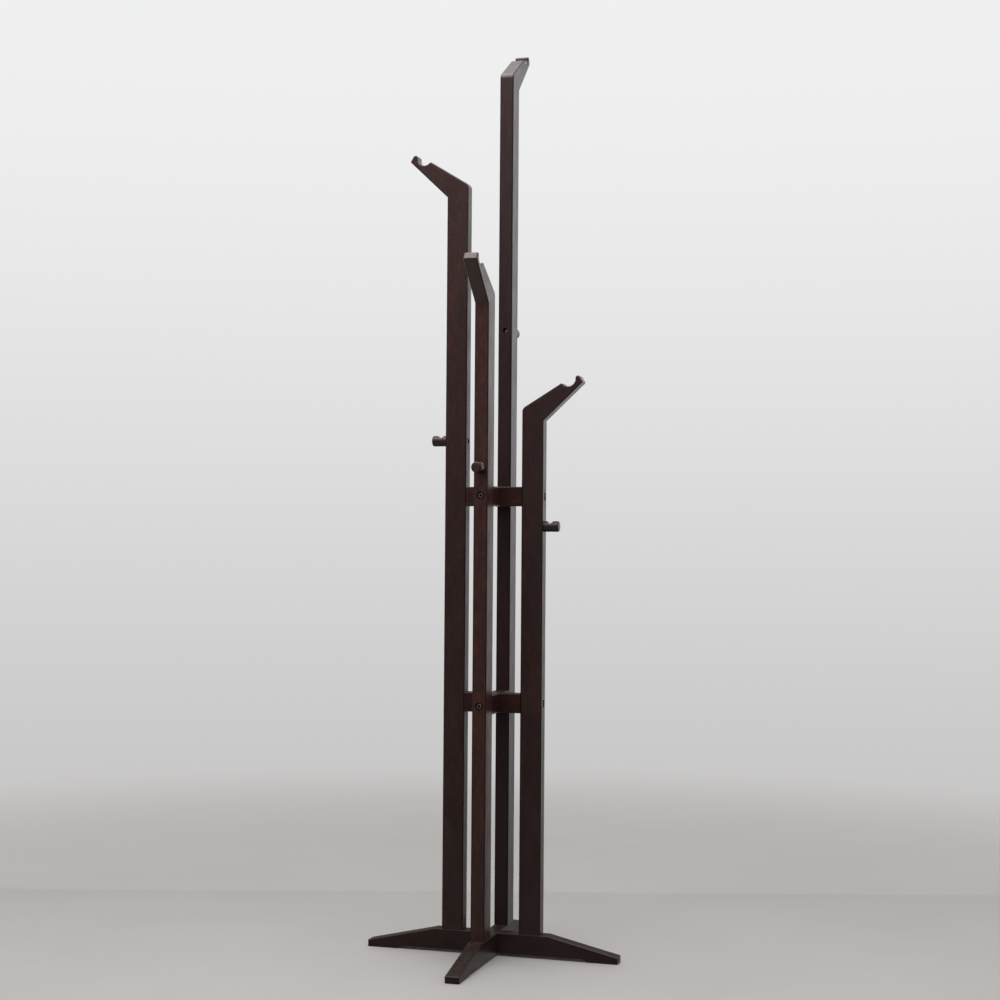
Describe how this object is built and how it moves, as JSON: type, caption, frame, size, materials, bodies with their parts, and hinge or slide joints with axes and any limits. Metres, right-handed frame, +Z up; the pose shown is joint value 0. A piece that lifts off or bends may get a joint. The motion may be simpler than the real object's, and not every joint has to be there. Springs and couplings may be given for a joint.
{
  "type": "coat rack",
  "caption": "Free-standing wooden coat rack: posts of stepped heights on a cross base, each with an upturned notched arm and a grooved peg.",
  "frame": {"origin": "on the floor below the centre of the cross base", "axes": "+Z up; the tallest post stands on the +Y arm of the cross, the shortest on the +X arm, the second tallest on the -X arm and the third on the -Y arm"},
  "size_m": [0.508, 0.508, 1.8046],
  "materials": {
    "stained_wood": "dark walnut-brown stain under satin lacquer",
    "bolt_steel": "blackened, slightly dulled",
    "screw_steel": "zinc-plated",
    "insert_brass": "bare",
    "dowel_beech": "raw beech"
  },
  "bodies": {
    "root": {"base_beam_x": "stained_wood", "base_beam_y": "stained_wood", "upper_rail_x": "stained_wood", "upper_rail_y": "stained_wood", "lower_rail_x": "stained_wood", "lower_rail_y": "stained_wood", "post_left": "stained_wood", "arm_left": "stained_wood", "peg_left": "stained_wood", "post_front": "stained_wood", "arm_front": "stained_wood", "peg_front": "stained_wood", "post_right": "stained_wood", "arm_right": "stained_wood", "peg_right": "stained_wood", "post_back": "stained_wood", "arm_back": "stained_wood", "peg_back": "stained_wood", "upper_rail_bolts": "bolt_steel", "lower_rail_bolts": "bolt_steel", "base_bolts": "bolt_steel", "peg_screws": "screw_steel", "base_lap_screw": "screw_steel", "upper_rail_inserts": "insert_brass", "lower_rail_inserts": "insert_brass", "post_inserts": "insert_brass", "base_dowels": "dowel_beech", "arm_dowels": "dowel_beech"}
  },
  "joints": []
}
